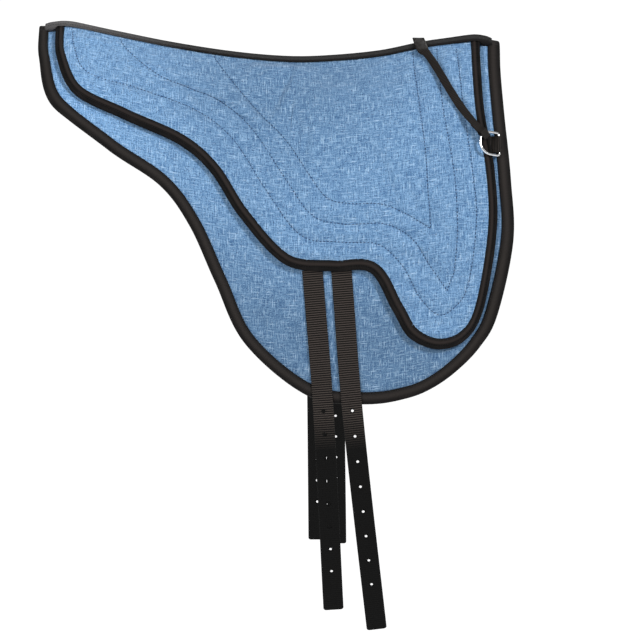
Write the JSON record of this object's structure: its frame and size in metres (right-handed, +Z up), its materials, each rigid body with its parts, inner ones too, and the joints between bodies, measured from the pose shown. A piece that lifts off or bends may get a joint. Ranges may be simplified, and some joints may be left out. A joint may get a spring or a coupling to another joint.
{
  "type": "bareback pad",
  "caption": "Padded bareback riding pad with quilted denim seat, bound skirts, girth billets, chrome D-rings and a grab handle over the withers.",
  "frame": {"origin": "On the horse's back under the lowest dip of the spine, at the inner face of the lining, on the pad's middle plane.", "axes": "+X forwards along the spine towards the withers, +Y to the horse's left, +Z up"},
  "size_m": [0.699, 0.3858, 0.8808],
  "materials": {
    "denim": "woven light blue denim-look cotton, matt, with white and navy flecks",
    "quilted_denim": "the same cloth, quilted over foam and puffed between its stitched channels",
    "foam": "soft open-cell padding, out of sight between the cloths",
    "lining": "brushed dark grey felt against the horse",
    "binding": "folded black edge tape, fine rib, matt",
    "webbing": "black synthetic webbing, ribbed, slight sheen",
    "chrome": "polished chrome-plated steel wire"
  },
  "bodies": {
    "spine": {"spine_tape": "binding", "spine_lining": "lining", "grab_handle": "webbing"},
    "half_right": {"base_cover_right": "denim", "base_foam_right": "foam", "base_lining_right": "lining", "base_binding_right": "binding", "seat_quilt_right": "quilted_denim", "seat_foam_right": "foam", "seat_binding_right": "binding", "web_front_right": "webbing", "web_rear_right": "webbing", "ring_tab_right": "webbing"},
    "billet_front_right_body": {"billet_front_right": "webbing"},
    "billet_rear_right_body": {"billet_rear_right": "webbing"},
    "d_ring_right_body": {"d_ring_right": "chrome"},
    "half_left": {"base_cover_left": "denim", "base_foam_left": "foam", "base_lining_left": "lining", "base_binding_left": "binding", "seat_quilt_left": "quilted_denim", "seat_foam_left": "foam", "seat_binding_left": "binding", "web_front_left": "webbing", "web_rear_left": "webbing", "ring_tab_left": "webbing"},
    "billet_front_left_body": {"billet_front_left": "webbing"},
    "billet_rear_left_body": {"billet_rear_left": "webbing"},
    "d_ring_left_body": {"d_ring_left": "chrome"}
  },
  "joints": [
    {"name": "fold_right", "type": "hinge", "parent": "spine", "child": "half_right", "pos_m": [-0.01155, 0, 0.04903], "axis": [-0.9994, 0, 0.0344], "range_deg": [0, 45], "deforming": ["spine_tape", "spine_lining", "grab_handle"]},
    {"name": "fold_left", "type": "hinge", "parent": "spine", "child": "half_left", "pos_m": [-0.01155, 0, 0.04903], "axis": [0.9994, 0, -0.0344], "range_deg": [0, 45], "deforming": ["spine_tape", "spine_lining", "grab_handle"]},
    {"name": "billet_rear_right_swing", "type": "hinge", "parent": "half_right", "child": "billet_rear_right_body", "pos_m": [0.05605, -0.16604, -0.29376], "axis": [-0.999, -0.0384, -0.0247], "range_deg": [0, 120]},
    {"name": "billet_front_right_swing", "type": "hinge", "parent": "half_right", "child": "billet_front_right_body", "pos_m": [0.09804, -0.16442, -0.29255], "axis": [-0.999, -0.0384, -0.0247], "range_deg": [0, 120]},
    {"name": "billet_rear_left_swing", "type": "hinge", "parent": "half_left", "child": "billet_rear_left_body", "pos_m": [0.05551, 0.16606, -0.29377], "axis": [0.999, -0.0384, 0.0239], "range_deg": [0, 120]},
    {"name": "billet_front_left_swing", "type": "hinge", "parent": "half_left", "child": "billet_front_left_body", "pos_m": [0.09697, 0.16447, -0.29259], "axis": [0.999, -0.0384, 0.0239], "range_deg": [0, 120]},
    {"name": "d_ring_right_flip", "type": "hinge", "parent": "half_right", "child": "d_ring_right_body", "pos_m": [0.32617, -0.12011, -0.10146], "axis": [0, 0.4243, 0.9055], "range_deg": [0, 30], "deforming": ["grab_handle"]},
    {"name": "d_ring_left_flip", "type": "hinge", "parent": "half_left", "child": "d_ring_left_body", "pos_m": [0.32617, 0.12011, -0.10146], "axis": [0, 0.4243, -0.9055], "range_deg": [0, 30], "deforming": ["grab_handle"]}
  ]
}
